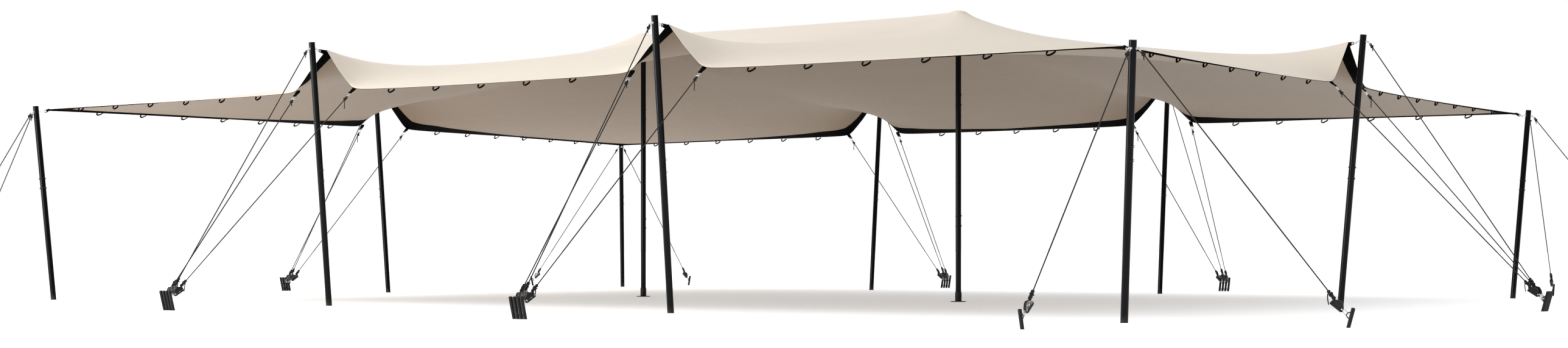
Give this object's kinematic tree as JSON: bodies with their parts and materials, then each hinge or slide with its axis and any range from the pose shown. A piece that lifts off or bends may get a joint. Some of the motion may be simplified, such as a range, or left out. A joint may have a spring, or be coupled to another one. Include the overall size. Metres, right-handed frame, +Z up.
{
  "type": "stretch tent",
  "caption": "Open-sided stretch tent: a cream stretched canopy on black centre, side and corner poles, held by guy ropes to ground stakes.",
  "frame": {"origin": "on the ground, at the middle of the tent's footprint", "axes": "+X along the tent's length, +Y across it to the back, +Z up"},
  "size_m": [19.4216, 16.306, 3.61],
  "materials": {
    "fabric": "matt coated stretch fabric",
    "webbing": "matt woven webbing",
    "pole": "satin black",
    "steel": "matt black",
    "rope": "braided rope"
  },
  "bodies": {
    "root": {"canopy": "fabric", "edge_band": "webbing", "corner_pole_front_left": "pole", "corner_pole_front_right": "pole", "corner_pole_back_right": "pole", "corner_pole_back_left": "pole", "side_pole_front_left": "pole", "side_pole_front_right": "pole", "side_pole_back_left": "pole", "side_pole_back_right": "pole", "side_pole_left_end": "pole", "side_pole_right_end": "pole", "centre_pole_left": "pole", "centre_pole_right": "pole", "base_plate_left": "steel", "base_plate_right": "steel", "side_stakes_front_left": "steel", "side_stakes_front_right": "steel", "side_stakes_back_left": "steel", "side_stakes_back_right": "steel", "side_stakes_left_end": "steel", "side_stakes_right_end": "steel", "corner_stake_front_left_side": "steel", "corner_stake_front_left_end": "steel", "corner_stake_front_right_side": "steel", "corner_stake_front_right_end": "steel", "corner_stake_back_right_side": "steel", "corner_stake_back_right_end": "steel", "corner_stake_back_left_side": "steel", "corner_stake_back_left_end": "steel", "side_guys_front_left": "rope", "side_guys_front_right": "rope", "side_guys_back_left": "rope", "side_guys_back_right": "rope", "side_guys_left_end": "rope", "side_guys_right_end": "rope", "corner_guy_front_left_side": "rope", "corner_guy_front_left_end": "rope", "corner_guy_front_right_side": "rope", "corner_guy_front_right_end": "rope", "corner_guy_back_right_side": "rope", "corner_guy_back_right_end": "rope", "corner_guy_back_left_side": "rope", "corner_guy_back_left_end": "rope"}
  },
  "joints": []
}
